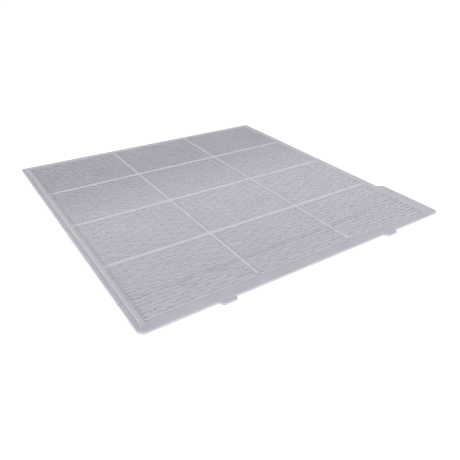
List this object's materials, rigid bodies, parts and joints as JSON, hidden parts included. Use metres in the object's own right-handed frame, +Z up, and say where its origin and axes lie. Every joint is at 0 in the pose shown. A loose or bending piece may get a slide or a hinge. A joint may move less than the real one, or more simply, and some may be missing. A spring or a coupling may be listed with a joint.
{
  "type": "queen excluder",
  "caption": "Flat square plastic beehive queen excluder: slotted grid panels between rounded moulded ribs, a solid front band with tabs and a short side flange.",
  "frame": {"origin": "middle of the whole outline, flange and tabs included, on the flat underside", "axes": "+Z up, away from the underside and towards the ribs; -Y towards the front edge with the two tabs; +X towards the side with the flange, along the slots"},
  "size_m": [0.46, 0.46, 0.0044],
  "materials": {
    "grid_plastic": "milky translucent polypropylene, satin",
    "rib_plastic": "milky translucent polypropylene, satin",
    "rim_plastic": "milky translucent polypropylene, satin"
  },
  "bodies": {
    "root": {"grid_panel_row1_col1": "grid_plastic", "grid_panel_row1_col2": "grid_plastic", "grid_panel_row1_col3": "grid_plastic", "grid_panel_row2_col1": "grid_plastic", "grid_panel_row2_col2": "grid_plastic", "grid_panel_row2_col3": "grid_plastic", "grid_panel_row3_col1": "grid_plastic", "grid_panel_row3_col2": "grid_plastic", "grid_panel_row3_col3": "grid_plastic", "grid_panel_row4_col1": "grid_plastic", "grid_panel_row4_col2": "grid_plastic", "grid_panel_row4_col3": "grid_plastic", "cross_rib_front": "rib_plastic", "cross_rib_middle": "rib_plastic", "cross_rib_back": "rib_plastic", "long_rib_left_row1": "rib_plastic", "long_rib_left_row2": "rib_plastic", "long_rib_left_row3": "rib_plastic", "long_rib_left_row4": "rib_plastic", "long_rib_right_row1": "rib_plastic", "long_rib_right_row2": "rib_plastic", "long_rib_right_row3": "rib_plastic", "long_rib_right_row4": "rib_plastic", "rim_front": "rim_plastic", "rim_back": "rim_plastic", "rim_left": "rim_plastic", "rim_right": "rim_plastic", "side_flange": "rim_plastic", "tab_left": "rim_plastic", "tab_right": "rim_plastic"}
  },
  "joints": []
}
